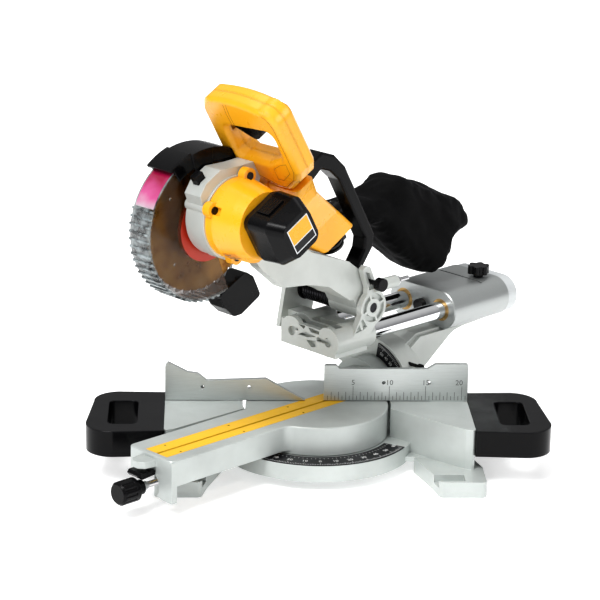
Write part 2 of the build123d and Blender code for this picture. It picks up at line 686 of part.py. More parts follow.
def gearcase():
    """The grey gearcase between the blade and the motor."""
    body = rod_x(CASE_RADIUS, CASE_LEFT, CASE_RIGHT, MOTOR_Y, MOTOR_Z)
    body += rod_x(NOSE_RADIUS, 8, CASE_LEFT + 2)
    top_outline = [(-20, 30), (-14, 70), (2, 78), (30, 78), (58, 62), (79, 52), (79, 26), (60, 10), (0, 10)]
    top = slab_x(top_outline, 27, 56)
    root = slab_x([(20, -33.9), (66, -33.9), (66, 0), (20, 0)], 26, ARM_RIGHT_FACE)
    body += top + root
    for boss in screw_bosses(7.5, UPPER_HALF_WIDTH, CASE_RIGHT):
        body += boss
    body -= rod_x(23, 31, 52)
    body -= rod_x(9.5, 31, 70, MOTOR_Y, MOTOR_Z)
    body -= rod_x(13, 12, 22)
    body -= rod_x(9.2, 0, 70)
    body -= rod_x(13, 54, 70)
    body -= rod_x(11, 52, 70, MOTOR_Y, MOTOR_Z)
    for hole in screw_bosses(2.4, 24, 60):
        body -= hole
    body -= box(34, 46, -2, 12, 66, 82)
    body -= Pos(40, 5, 70) * Cylinder(3.2, 40)
    return body


def motor_housing():
    """The yellow motor can with four screw ears and a tapered end."""
    with BuildPart() as can:
        sections = ((CASE_RIGHT + 0.1, 52.0), (70.0, 52.0), (96.0, 47.0), (MOTOR_END, 43.0))
        for x, radius in sections:
            with BuildSketch(Plane.YZ.offset(x)):
                with Locations((MOTOR_Y, MOTOR_Z)):
                    Circle(radius)
        loft(ruled=True)
    body = can.part
    for ear in screw_bosses(10, CASE_RIGHT + 0.1, 70):
        body += ear
    rib = box(66, 100, MOTOR_Y - 40, MOTOR_Y + 20, MOTOR_Z - 44, MOTOR_Z - 20)
    body += rib & rod_x(50, 60, MOTOR_END, MOTOR_Y, MOTOR_Z)
    body -= rod_x(39, CASE_RIGHT - 1, 92.3, MOTOR_Y, MOTOR_Z)
    body -= rod_x(11, 92, 97.6, MOTOR_Y, MOTOR_Z)
    body -= rod_x(6, 97, 99, MOTOR_Y, MOTOR_Z)
    for hole in screw_bosses(2.4, 50, 80):
        body -= hole
    for recess in screw_bosses(5.2, 66, 80):
        body -= recess
    body -= box(MOTOR_END - 14, MOTOR_END + 1, PACK_Y0 + 8, PACK_Y1 - 8, PACK_Z0 + 8, PACK_Z1 - 8)
    return body


def motor_screws():
    """The four long screws that hold the motor housing to the gearcase."""
    return [shank + head for shank, head in zip(screw_bosses(2.35, 26, 66.5), screw_bosses(5.0, 66.2, 71))]


def motor_stator():
    """The motor's magnet ring."""
    return rod_x(38.5, 62, 92, MOTOR_Y, MOTOR_Z) - rod_x(27, 61, 93, MOTOR_Y, MOTOR_Z)


def motor_rotor():
    """The rotor with its pinion and cooling fan, on one shaft."""
    shaft = rod_x(4, 33, 98, MOTOR_Y, MOTOR_Z)
    pinion = toothed_bar(3.9, 10, 34, 46, MOTOR_Y, MOTOR_Z)
    core = rod_x(25.5, 64, 90, MOTOR_Y, MOTOR_Z)
    fan = rod_x(34, 59.5, 61.5, MOTOR_Y, MOTOR_Z)
    return shaft + pinion + core + fan


def toothed_bar(outer, teeth, x0, x1, y=0.0, z=0.0):
    """A spur gear as a round bar with shallow tooth spaces."""
    body = rod_x(outer, x0, x1, y, z)
    space = math.pi * outer / teeth / 2
    for tooth in range(teeth):
        turn = 2 * math.pi * tooth / teeth
        body -= rod_x(space / 2, x0 - 1, x1 + 1, y + outer * math.cos(turn), z + outer * math.sin(turn))
    return body


def rotor_bearings():
    """The two ball bearings of the rotor shaft, as plain rings."""
    front = rod_x(11, 52, 57, MOTOR_Y, MOTOR_Z) - rod_x(4 + RUNNING_FIT, 50, 60, MOTOR_Y, MOTOR_Z)
    rear = rod_x(11, 92.5, 97.5, MOTOR_Y, MOTOR_Z) - rod_x(4 + RUNNING_FIT, 90, 100, MOTOR_Y, MOTOR_Z)
    return [front, rear]


def drive_gear():
    """The large gear on the arbor, driven by the rotor's pinion."""
    return toothed_bar(17.0, 43, 35, 45) - rod_x(9, 30, 50)


def arbor():
    """The arbor shaft with its inner flange shoulder."""
    body = rod_x(9, 5, 58) + rod_x(8, -BLADE_THICKNESS / 2, 5)
    return body - rod_x(4, -5, 22)


def arbor_bearings():
    """The two ball bearings of the arbor, as plain rings."""
    return [
        rod_x(13, 12.2, 21.8) - rod_x(9 + RUNNING_FIT, 10, 24),
        rod_x(13, 54, 57.8) - rod_x(9 + RUNNING_FIT, 50, 60),
    ]


def saw_blade():
    """The toothed blade, with its bore and four expansion slots."""
    teeth = 40
    gullet = BLADE_RADIUS - 6.0
    points = []
    for tooth in range(teeth):
        base = 2 * math.pi * tooth / teeth
        pitch = 2 * math.pi / teeth
        corners = ((BLADE_RADIUS, 0.0), (BLADE_RADIUS - 0.8, 0.16), (gullet + 1.6, 0.62), (gullet, 0.86))
        for radius, share in corners:
            angle = base + pitch * share
            points.append((radius * math.cos(angle), radius * math.sin(angle)))
    disc = slab_x(points, -BLADE_THICKNESS / 2, BLADE_THICKNESS / 2)
    disc -= rod_x(8, -5, 5)
    for turn in range(0, 360, 90):
        angle = math.radians(turn + 20)
        disc -= rod_x(2.2, -5, 5, 62 * math.cos(angle), 62 * math.sin(angle))
    return disc


def blade_flanges():
    """The clamping flanges on both faces of the blade."""
    half = BLADE_THICKNESS / 2
    outer = rod_x(21, -half - 4, -half) - rod_x(8, -20, 20)
    inner = rod_x(21, half, half + 4) - rod_x(8, -20, 20)
    return [outer, inner]


def arbor_bolt():
    """The hexagon bolt that clamps the blade."""
    head = slab_x(hexagon(7.5), -12, -7)
    return head + rod_x(11, -7, -5) + rod_x(4, -5, 20)


def upper_guard():
    """The fixed black guard over the top of the blade, closed on its left side."""
    start, end = -22, 97
    band = sector(UPPER_INNER, UPPER_OUTER, start, end, -UPPER_HALF_WIDTH, UPPER_HALF_WIDTH)
    right = sector(84, UPPER_OUTER, start, end, UPPER_HALF_WIDTH - 2.2, UPPER_HALF_WIDTH)
    left = sector(0.1, UPPER_OUTER, start, end, -UPPER_HALF_WIDTH, -UPPER_HALF_WIDTH + 2.2)
    left += rod_x(34, -UPPER_HALF_WIDTH, -UPPER_HALF_WIDTH + 2.2)
    nose = sector(UPPER_OUTER - 1, UPPER_OUTER + 2.6, 78, 99, -UPPER_HALF_WIDTH, UPPER_HALF_WIDTH)
    foot = sector(50, UPPER_OUTER, 58, 78, UPPER_HALF_WIDTH - 2.2, CASE_LEFT)
    return band + right + left + nose + foot


def lower_guard():
    """The smoky swinging guard with its ribbed rim and both side walls."""
    start, end = 128, 262
    band = sector(GUARD_INNER, GUARD_OUTER, start, end, -GUARD_HALF_WIDTH, GUARD_HALF_WIDTH)
    right = sector(46, GUARD_OUTER, 95, end, GUARD_HALF_WIDTH - 2, GUARD_HALF_WIDTH)
    left = sector(20, GUARD_OUTER, 95, end, -GUARD_HALF_WIDTH, -GUARD_HALF_WIDTH + 2)
    body = band + right + left
    body += rod_x(24, -GUARD_HALF_WIDTH, -GUARD_HALF_WIDTH + 2) - rod_x(15, -30, 0)
    ribs = 22
    for rib in range(ribs):
        angle = start + 2 + (252 - start - 2) * rib / (ribs - 1)
        rib_edges = (angle - 0.8, angle + 0.8, -GUARD_HALF_WIDTH, GUARD_HALF_WIDTH)
        body += sector(GUARD_OUTER - 0.5, RIB_OUTER, *rib_edges)
    return body


def guard_window():
    """The clear window in the front of the lower guard."""
    return sector(GUARD_INNER, GUARD_OUTER, 95.2, 127.8, -GUARD_HALF_WIDTH + 2.05, GUARD_HALF_WIDTH - 2.05)


def guard_hub():
    """The orange-red hub that carries the lower guard round the gearcase nose."""
    body = rod_x(45.8, 13, GUARD_HALF_WIDTH) - rod_x(NOSE_RADIUS + RUNNING_FIT, 0, 30)
    return body


def guard_shoe():
    """The black shoe at the rear end of the lower guard."""
    outline = [(-30, -96), (-30, -118), (-24, -137), (-12, -143), (27, -143), (29, -112), (22, -98)]
    body = soften(slab_x(outline, -12, 18), 5, Axis.X)
    return body - rod_x(GUARD_OUTER, -40, 40)


def handle_outline():
    """The D-handle's outline with its hand hole, in the plane of the grip."""
    with BuildSketch() as loop:
        with BuildLine():
            Polyline((2, 58), (1, 122))
            ThreePointArc((1, 122), (8, 140), (26, 147))
            ThreePointArc((26, 147), (66, 149), (106, 143))
            ThreePointArc((106, 143), (126, 138), (134, 122))
            Polyline(
                (134, 122), (136, 48), (129, 34), (104, 14), (86, 14),
                (16, 34), (-8, 42), (-8, 50), (2, 58),
            )
        make_face()
        with BuildSketch(mode=Mode.SUBTRACT):
            with BuildLine():
                Polyline((30, 62), (30, 96))
                ThreePointArc((30, 96), (33, 102), (40, 104))
                Polyline((40, 104), (104, 108))
                ThreePointArc((104, 108), (113, 106), (116, 98))
                Polyline((116, 98), (116, 76))
                ThreePointArc((116, 76), (112, 68), (104, 64))
                Polyline((104, 64), (84, 55), (38, 55), (30, 62))
            make_face()
    return loop.sketch


def handle_half(front):
    """One shell of the D-handle. The shells meet halfway through the grip's thickness."""
    plane = Plane(origin=(0, GRIP_Y, 0), x_dir=(1, 0, 0), z_dir=(0, -1, 0))
    half = extrude(plane * handle_outline(), GRIP_HALF_THICKNESS if front else -GRIP_HALF_THICKNESS)
    face = half.faces().sort_by(Axis.Y)[0 if front else -1]
    half = chamfer(face.edges(), 5.0)
    half -= rod_x(UPPER_OUTER, -30, CASE_LEFT)
    half -= box(24, 92, GRIP_Y - 8.4, GRIP_Y + 8.4, 90, 132)
    half -= rod_y(3 + RUNNING_FIT, GRIP_Y - 12, GRIP_Y + 12, 30, 112)
    half -= rod_y(6.9, GRIP_Y + 7.5, GRIP_Y + 30, 14, 96)
    return half


def trigger():
    """The black trigger under the grip, hinged at its left end."""
    with BuildSketch() as outline:
        with BuildLine():
            Polyline((25, 108), (33, 99))
            ThreePointArc((33, 99), (50, 91), (66, 84))
            ThreePointArc((66, 84), (76, 86), (82, 98))
            Polyline((82, 98), (82, 112), (34, 116), (25, 115), (25, 108))
        make_face()
    plane = Plane(origin=(0, GRIP_Y + 8, 0), x_dir=(1, 0, 0), z_dir=(0, -1, 0))
    body = extrude(plane * outline.sketch, 16)
    return body + rod_y(3, GRIP_Y - 11.6, GRIP_Y + 11.6, 30, 112)


def lock_off_button():
    """The lock-off button on the rear face of the grip, at the thumb."""
    return rod_y(6.5, GRIP_Y + 11, GRIP_Y + 21, 14, 96)


def rounded_section(x0, x1, y0, y1, z, radius):
    """A rounded rectangle across the head at one height."""
    return Pos((x0 + x1) / 2, (y0 + y1) / 2, z) * RectangleRounded(x1 - x0, y1 - y0, radius)


def rear_shroud():
    """The yellow shroud that runs back from the handle and hoods the dust duct."""
    sections = [
        rounded_section(60, 116, 81, 113, 13.6, 6),
        rounded_section(20, 74, 92, 140, -44, 8),
        rounded_section(-2, 46, 104, 176, -112, 8),
        rounded_section(-2, 46, 127, 190, -150, 8),
    ]
    body = Part() + loft(sections, ruled=True)
    ends = [rounded_section(3, 41, 112, 168, -112, 6), rounded_section(3, 41, 131, 185, -151, 6)]
    cavity = Part() + loft(ends, ruled=True)
    bridge = slab_x([(79.2, -6), (79.2, 12), (92, 12), (110, -40), (104, -60), (86, -40)], 30, 56)
    return body - cavity + bridge


def dust_duct():
    """The ribbed rubber duct between the shroud and the arm."""
    axis_y = 158.0
    body = rod_z(15, -168, -126, 22, axis_y)
    for rib in range(3):
        z = -168 + rib * 6
        body += rod_z(17.5, z, z + 3, 22, axis_y)
    return body


def dust_spout():
    """The rigid spout that turns from the duct to the dust bag."""
    pipe = rod_z(14, -190, -150, -22, 186)
    cross = box(-30, 22, 172, 186, -176.5, -152) & rod_x(60, -40, 40, 180, -164)
    return pipe + rod_y(13, 180, 216, -22, -170) + cross


def carry_handle():
    """The black carrying handle over the rear of the head."""
    outline = [
        (150, -40),
        (172, -34),
        (198, -34),
        (214, -52),
        (223, -80),
        (223, -196),
        (212, -212),
        (178, -227),
        (172, -216),
        (196, -204),
        (205, -192),
        (205, -88),
        (197, -66),
        (186, -54),
        (152, -60),
    ]
    bar = slab_x(outline, 8, 34)
    return chamfer(bar.edges().filter_by(Axis.X, reverse=True), 2.5)


def spindle_lock():
    """The spindle lock button on top of the gearcase."""
    return box(34.5, 45.5, -1.5, 11.5, 70, 88) + rod_z(3, 56, 70, 40, 5)


def dust_bag():
    """The dust bag at its full outer size."""
    outline = [
        (50, 275),
        (104, 278),
        (134, 290),
        (146, 297),
        (164, 296),
        (240, 262),
        (284, 244),
        (306, 218),
        (307, 202),
        (274, 180),
        (264, 156),
        (250, 138),
        (232, 134),
        (206, 142),
        (150, 180),
        (104, 228),
        (66, 246),
    ]
    return slab_x(outline, -58, 5)


def bag_collar():
    """The plastic collar that clips the bag to the spout."""
    return rod_y(17, 207, 222, -22, -170) - rod_y(13 + RUNNING_FIT, 200, 217, -22, -170)


PACK_Y0, PACK_Y1 = -12.0, 58.0
PACK_Z0, PACK_Z1 = -26.0, 44.0
PACK_END = 172.0


def battery_pack():
    """The battery pack, tapered towards its label face, with a plug that enters the motor housing."""
    middle_y = (PACK_Y0 + PACK_Y1) / 2
    middle_z = (PACK_Z0 + PACK_Z1) / 2
    with BuildPart() as shell:
        for x, width in ((MOTOR_END + GAP, 66.0), (MOTOR_END + 10, 70.0), (152.0, 68.0), (PACK_END, 50.0)):
            with BuildSketch(Plane.YZ.offset(x)):
                with Locations((middle_y, middle_z)):
                    RectangleRounded(width, width, 12)
        loft(ruled=True)
    plug = box(MOTOR_END - 12, MOTOR_END + 2, PACK_Y0 + 10, PACK_Y1 - 10, PACK_Z0 + 10, PACK_Z1 - 10)
    body = shell.part + plug
    return body - box(124, 146, middle_y - 15, middle_y + 15, PACK_Z1 - 5.5, PACK_Z1 + 3)


def battery_latch():
    """The ribbed release button on the upper side of the battery pack."""
    middle_y = (PACK_Y0 + PACK_Y1) / 2
    z0 = PACK_Z1 - 3
    body = box(125, 145, middle_y - 14, middle_y + 14, z0, z0 + 5)
    for step in range(4):
        body -= rod_y(0.9, middle_y - 20, middle_y + 20, 128 + step * 4.6, z0 + 5)
    return body


# ---- writing the nodes ----------------------------------------------------------------------------------
save("base_casting", TABLE, base_casting())
save("mitre_scale_plate", TABLE, mitre_scale_plate())
save("side_handles", TABLE, side_handle(), mirrored(side_handle()))
save("fence_right", TABLE, fence_right())
save("fence_slide_base", TABLE, fence_slide_base())
save("fence_left", TABLE, fence_left() + fence_guide())
save("fence_screws", TABLE, *fence_screws())
save("mitre_pivot_bolt", TABLE, mitre_pivot_bolt())

save("turntable_casting", ARM, turntable_casting())
save("kerf_plates", ARM, kerf_plate(left=True), kerf_plate(left=False))
save("kerf_screws", ARM, *kerf_screws())
save("mitre_lock_knob", ARM, mitre_lock_knob())
save("mitre_lock_screw", ARM, mitre_lock_screw())
save("detent_lever", ARM, detent_lever())
save("bevel_shaft", ARM, bevel_shaft())

save("bevel_arm", ARM, bevel_arm())
save("bevel_scale", ARM, bevel_scale())
save("bevel_stop_pin", ARM, bevel_stop_pin())
save("bevel_lock_lever", ARM, bevel_lock_lever())
save("rail_housing", ARM, rail_housing())
save("rail_bushes", ARM, *rail_bushes())
save("slide_bumper", ARM, slide_bumper())
save("rail_lock_knob", ARM, rail_lock_knob())

save("slide_rails", ARM, *slide_rails())
save("rail_end_cap", ARM, rail_end_cap())
save("carriage_bracket", ARM, carriage_bracket())
save("head_pivot_pin", ARM, head_pivot_pin())
save("depth_stop_screw", ARM, depth_stop_screw())
save("head_lock_pin", ARM, head_lock_pin())
save("torsion_spring", ARM, torsion_spring())
save("spring_bush", ARM, spring_bush())

save("head_arm", HEAD, head_arm())
save("gearcase", HEAD, gearcase())
save("motor_housing", HEAD, motor_housing())
save("motor_screws", HEAD, *motor_screws())
save("motor_stator", HEAD, motor_stator())
save("motor_rotor", HEAD, motor_rotor())
save("motor_bearings", HEAD, *rotor_bearings(), *arbor_bearings())
save("drive_gear", HEAD, drive_gear())
save("arbor", HEAD, arbor())
save("saw_blade", HEAD, saw_blade())
save("blade_flanges", HEAD, *blade_flanges())
save("arbor_bolt", HEAD, arbor_bolt())
save("upper_guard", HEAD, upper_guard())
save("lower_guard", HEAD, lower_guard())
save("guard_window", HEAD, guard_window())
save("guard_hub", HEAD, guard_hub())
save("guard_shoe", HEAD, guard_shoe())
save("handle_shell_front", HEAD, handle_half(front=True))
save("handle_shell_rear", HEAD, handle_half(front=False))
save("trigger", HEAD, trigger())
save("lock_off_button", HEAD, lock_off_button())
save("rear_shroud", HEAD, rear_shroud())
save("dust_duct", HEAD, dust_duct() + dust_spout())
save("carry_handle", HEAD, carry_handle())
save("spindle_lock", HEAD, spindle_lock())
save("bag_collar", HEAD, bag_collar())
save("dust_bag", ARM, dust_bag())
save("battery_pack", HEAD, battery_pack())
save("battery_latch", HEAD, battery_latch())
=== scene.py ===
import math

import bpy
from mathutils import Matrix, Vector, noise


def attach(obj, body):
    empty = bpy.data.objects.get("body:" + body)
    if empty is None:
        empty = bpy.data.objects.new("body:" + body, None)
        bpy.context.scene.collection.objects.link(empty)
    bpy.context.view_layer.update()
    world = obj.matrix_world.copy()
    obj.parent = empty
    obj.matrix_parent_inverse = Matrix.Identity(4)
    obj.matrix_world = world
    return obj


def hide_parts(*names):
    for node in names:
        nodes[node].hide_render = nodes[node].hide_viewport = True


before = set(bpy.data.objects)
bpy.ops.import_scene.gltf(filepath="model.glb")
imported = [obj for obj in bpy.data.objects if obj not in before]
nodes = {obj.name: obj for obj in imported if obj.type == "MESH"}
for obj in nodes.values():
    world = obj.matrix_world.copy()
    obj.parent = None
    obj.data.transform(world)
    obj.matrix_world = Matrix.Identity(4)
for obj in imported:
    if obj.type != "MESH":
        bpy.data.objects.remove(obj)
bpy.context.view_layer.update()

# ---- driving dimensions, in millimetres, and the three frames of the saw ------------------------
MM = 0.001
TABLE_HEIGHT = 78.0
MITRE_STOP = 48.0
HEAD_TILT = 30.0
ARBOR_Y, ARBOR_Z = -221.0, 296.0
MOTOR_Y, MOTOR_Z = 18.8, 9.8
FENCE_FACE_Y = 9.0
SCALE_TOP = -39.8
GRIP_FRONT = 79.1
BEVEL_SCALE_Y = 106.6
MOTOR_RADIUS, MOTOR_TAPER_X, MOTOR_TAPER = 52.0, 70.0, 0.192
PACK_END = 172.0
WINDOW_TOP_Y, WINDOW_TOP_Z = -20.0, 97.0
MITRE_OUTER_TICKS, MITRE_FIGURES, MITRE_INNER_TICKS = 131.0, 118.0, 109.5
BEVEL_TICKS, BEVEL_FIGURES, BEVEL_FIRST = 67.0, 55.0, 20

SCALE = Matrix.Scale(MM, 4)
TABLE = Matrix.Translation((0, 0, TABLE_HEIGHT * MM))
ARM = TABLE @ Matrix.Rotation(math.radians(-MITRE_STOP), 4, "Z")
HEAD = ARM @ Matrix.Translation((0, ARBOR_Y * MM, ARBOR_Z * MM))
HEAD = HEAD @ Matrix.Rotation(math.radians(HEAD_TILT), 4, "X")


# ---- node-tree helpers ---------------------------------------------------------------------------
class Tree:
    """A material's node tree with a Principled shader and short calls to add nodes."""

    def __init__(self, name, **sockets):
        self.material = bpy.data.materials.new(name)
        self.material.use_nodes = True
        self.nodes = self.material.node_tree.nodes
        self.links = self.material.node_tree.links
        self.shader = self.nodes["Principled BSDF"]
        for socket, value in sockets.items():
            self.shader.inputs[socket.replace("_", " ")].default_value = value
        self.coords = self.add("ShaderNodeTexCoord").outputs["Object"]

    def add(self, kind, **settings):
        node = self.nodes.new(kind)
        for key, value in settings.items():
            setattr(node, key, value)
        return node

    def link(self, source, node, socket):
        self.links.new(source, node.inputs[socket])

    def stretched(self, scale, turn=(0, 0, 0)):
        """Object coordinates turned and then scaled differently along each axis."""
        mapping = self.add("ShaderNodeMapping")
        self.link(self.coords, mapping, "Vector")
        mapping.inputs["Scale"].default_value = scale
        mapping.inputs["Rotation"].default_value = turn
        return mapping.outputs["Vector"]

    def noise(self, scale, detail=3.0, vector=None, roughness=0.55):
        node = self.add("ShaderNodeTexNoise")
        node.inputs["Scale"].default_value = scale
        node.inputs["Detail"].default_value = detail
        node.inputs["Roughness"].default_value = roughness
        self.link(vector or self.coords, node, "Vector")
        return node.outputs["Fac"]

    def ramp(self, source, stops):
        node = self.add("ShaderNodeValToRGB")
        elements = node.color_ramp.elements
        for index, (place, value) in enumerate(stops):
            element = elements[index] if index < 2 else elements.new(place)
            element.position = place
            element.color = value if len(value) == 4 else (*value, 1.0)
        self.link(source, node, "Fac")
        return node.outputs["Color"]

    def math(self, operation, first, second=0.0, third=0.0):
        node = self.add("ShaderNodeMath", operation=operation)
        for index, value in enumerate((first, second, third)):
            if isinstance(value, (int, float)):
                node.inputs[index].default_value = value
            else:
                self.links.new(value, node.inputs[index])
        return node.outputs["Value"]

    def mix(self, factor, first, second):
        """Blends two colours. A Mix node has its colours on inputs 6 and 7 and on output 2."""
        node = self.add("ShaderNodeMix", data_type="RGBA")
        for index, value in ((0, factor), (6, first), (7, second)):
            if isinstance(value, tuple):
                node.inputs[index].default_value = (*value, 1.0)
            elif isinstance(value, float):
                node.inputs[index].default_value = value
            else:
                self.links.new(value, node.inputs[index])
        return node.outputs[2]

    def rounded(self, radius):
        """The shading normal with its sharp edges rounded off by a radius in millimetres."""
        bevel = self.add("ShaderNodeBevel", samples=4)
        bevel.inputs["Radius"].default_value = radius * MM
        return bevel.outputs["Normal"]

    def edge_mask(self, normal):
        """Near 1 on convex and concave edges, 0 on flat areas."""
        geometry = self.add("ShaderNodeNewGeometry")
        dot = self.add("ShaderNodeVectorMath", operation="DOT_PRODUCT")
        self.links.new(normal, dot.inputs[0])
        self.links.new(geometry.outputs["True Normal"], dot.inputs[1])
        return self.ramp(dot.outputs["Value"], [(0.75, (1, 1, 1)), (0.985, (0, 0, 0))])

    def bump(self, height, strength, distance, normal=None):
        node = self.add("ShaderNodeBump")
        node.inputs["Strength"].default_value = strength
        node.inputs["Distance"].default_value = distance * MM
        self.link(height, node, "Height")
        if normal is not None:
            self.link(normal, node, "Normal")
        return node.outputs["Normal"]

    def set(self, socket, source):
        self.link(source, self.shader, socket)

    def radius_from_arbor(self):
        """The distance from the blade's axis, in metres, at the rest position of the head."""
        centre = HEAD @ Vector((0, 0, 0))
        axis = (HEAD.to_3x3() @ Vector((1, 0, 0))).normalized()
        offset = self.add("ShaderNodeVectorMath", operation="SUBTRACT")
        self.links.new(self.coords, offset.inputs[0])
        offset.inputs[1].default_value = centre
        cross = self.add("ShaderNodeVectorMath", operation="CROSS_PRODUCT")
        self.links.new(offset.outputs["Vector"], cross.inputs[0])
        cross.inputs[1].default_value = axis
        length = self.add("ShaderNodeVectorMath", operation="LENGTH")
        self.links.new(cross.outputs["Vector"], length.inputs[0])
        return length.outputs["Value"]


def scaled(colour, factor):
    return tuple(channel * factor for channel in colour)


def grey(value):
    """A neutral colour, used where a ramp carries a plain value."""
    return (value, value, value)


# ---- materials -------------------------------------------------------------------------------------
def cast_metal(name, colour, roughness=0.42, metallic=0.35, grain=0.35, edge=0.8):
    """Satin painted casting: fine orange peel, faint mottling, edges lightened as a painted highlight.
    """
    tree = Tree(name, Metallic=metallic)
    normal = tree.rounded(edge)
    painted_edge_highlight = tree.edge_mask(normal)
    shades = [(0.35, scaled(colour, 0.90)), (0.65, scaled(colour, 1.05))]
    mottle = tree.ramp(tree.noise(14.0, 4.0), shades)
    # Painted highlight: the colour is lifted by 1.35 along the convex and concave edges.
    tree.set("Base Color", tree.mix(painted_edge_highlight, mottle, scaled(colour, 1.35)))
    tree.set("Roughness", tree.math("MULTIPLY_ADD", tree.noise(260.0, 2.0), 0.14, roughness - 0.07))
    tree.set("Normal", tree.bump(tree.noise(900.0, 3.0), grain, 0.06, normal))
    return tree.material


def brushed_metal(name, colour, direction, roughness=0.32, edge=0.6):
    """Machined aluminium with fine lines. Direction is the turn of the lines about Z, in degrees."""
    tree = Tree(name, Metallic=0.85)
    normal = tree.rounded(edge)
    lines = tree.stretched((40.0, 2200.0, 2200.0), (0, 0, math.radians(-direction)))
    streaks = tree.noise(1.0, 4.0, lines, 0.7)
    shade = tree.ramp(streaks, [(0.3, scaled(colour, 0.86)), (0.7, scaled(colour, 1.06))])
    # Painted highlight: the colour is lifted by 1.2 along the rounded edges.
    tree.set("Base Color", tree.mix(tree.edge_mask(normal), shade, scaled(colour, 1.2)))
    tree.set("Roughness", tree.math("MULTIPLY_ADD", streaks, 0.2, roughness - 0.1))
    tree.set("Normal", tree.bump(streaks, 0.12, 0.04, normal))
    return tree.material


def moulded_plastic(name, colour, roughness, grain=0.15, edge=1.2, lift=1.25, coat=0.0, shine=0.5):
    """Moulded plastic with a fine spark-eroded grain and edges lightened as a painted highlight."""
    tree = Tree(name, Coat_Weight=coat, Coat_Roughness=0.2)
    tree.shader.inputs["Specular IOR Level"].default_value = shine
    normal = tree.rounded(edge)
    body = tree.ramp(tree.noise(9.0, 3.0), [(0.3, scaled(colour, 0.94)), (0.7, scaled(colour, 1.04))])
    # Painted highlight: the edge mask lifts the colour by the factor lift along the rounded edges.
    tree.set("Base Color", tree.mix(tree.edge_mask(normal), body, scaled(colour, lift)))
    smudges = [(0.35, grey(roughness - 0.05)), (0.7, grey(roughness + 0.09))]
    tree.set("Roughness", tree.ramp(tree.noise(30.0, 5.0), smudges))
    tree.set("Normal", tree.bump(tree.noise(2600.0, 2.0), grain, 0.03, normal))
    return tree.material


def polished_steel(name, colour, roughness, edge=0.3):
    """Ground or chromed steel with faint turning marks and finger smears."""
    tree = Tree(name, Metallic=1.0)
    shades = [(0.3, scaled(colour, 0.94)), (0.7, colour)]
    tree.set("Base Color", tree.ramp(tree.noise(60.0, 3.0), shades))
    smears = [(0.4, grey(roughness * 0.7)), (0.75, grey(roughness * 1.9))]
    tree.set("Roughness", tree.ramp(tree.noise(35.0, 6.0), smears))
    tree.set("Normal", tree.bump(tree.noise(700.0, 2.0), 0.03, 0.02, tree.rounded(edge)))
    return tree.material


def blade_steel():
    """Blade with a golden coating, ground rings and grey carbide tips."""
    tree = Tree("blade_coated_steel", Metallic=0.85)
    radius = tree.radius_from_arbor()
    rings = tree.math("SINE", tree.math("MULTIPLY", radius, 9000.0))
    stain = tree.noise(38.0, 6.0)
    golds = [(0.3, (0.22, 0.09, 0.02)), (0.55, (0.48, 0.26, 0.07)), (0.8, (0.60, 0.42, 0.20))]
    coat = tree.ramp(stain, golds)
    tips = tree.ramp(tree.math("MULTIPLY", radius, 10.0), [(0.872, (0, 0, 0)), (0.885, (1, 1, 1))])
    tree.set("Base Color", tree.mix(tips, coat, (0.55, 0.56, 0.58)))
    tree.set("Roughness", tree.ramp(stain, [(0.3, grey(0.26)), (0.8, grey(0.5))]))
    tree.set("Normal", tree.bump(rings, 0.10, 0.03))
    return tree.material


def smoky_guard():
    """Smoky clear plastic: dark see-through side walls, a rim of dark ribs with painted light grey
    glints for highlights. Radii are in tenths of a metre.
    """
    tree = Tree("smoky_polycarbonate", IOR=1.5)
    radius = tree.math("MULTIPLY", tree.radius_from_arbor(), 10.0)
    rim = tree.ramp(radius, [(0.940, (0, 0, 0)), (0.972, (1, 1, 1))])
    haze = tree.noise(45.0, 4.0)
    wall = tree.ramp(haze, [(0.3, (0.03, 0.012, 0.003)), (0.7, (0.09, 0.04, 0.012))])
    # Painted highlight: random light grey glints over the dark rim ribs.
    glints = tree.noise(70.0, 3.0)
    block = tree.ramp(glints, [(0.36, (0.03, 0.035, 0.037)), (0.64, (0.36, 0.41, 0.42))])
    tree.set("Base Color", tree.mix(rim, wall, block))
    solidity = [(0.62, grey(0.40)), (0.955, grey(0.34)), (0.975, grey(0.9))]
    tree.set("Alpha", tree.ramp(radius, solidity))
    tree.set("Roughness", tree.ramp(haze, [(0.3, grey(0.08)), (0.8, grey(0.2))]))
    tree.set("Normal", tree.bump(tree.noise(120.0, 3.0), 0.05, 0.1, tree.rounded(0.4)))
    return tree.material


def clear_window():
    """Clear plastic with a painted pink reflection that deepens towards its upper end."""
    painted_reflection_reach = 0.075
    painted_reflection_per_metre = 13.0
    tree = Tree("clear_window_plastic", IOR=1.5)
    split = tree.add("ShaderNodeSeparateXYZ")
    tree.link(tree.coords, split, "Vector")
    top = (HEAD @ SCALE @ Vector((0, WINDOW_TOP_Y, WINDOW_TOP_Z))).z
    height = tree.math("SUBTRACT", split.outputs["Z"], top - painted_reflection_reach)
    share = tree.math("MULTIPLY_ADD", tree.noise(40.0, 2.0), 0.35, -0.17)
    place = tree.math("ADD", tree.math("MULTIPLY", height, painted_reflection_per_metre), share)
    # Painted reflection: pink that deepens towards the top of the window, with the alpha rising along
    # with it.
    painted_reflection_tints = [(0.35, (0.70, 0.72, 0.75)), (0.7, (0.62, 0.10, 0.30)), (0.98, (0.34, 0.01, 0.06))]
    tree.set("Base Color", tree.ramp(place, painted_reflection_tints))
    tree.set("Alpha", tree.ramp(place, [(0.2, grey(0.50)), (0.9, grey(0.88))]))
    tree.set("Roughness", tree.ramp(tree.noise(60.0), [(0.4, grey(0.06)), (0.8, grey(0.16))]))
    return tree.material


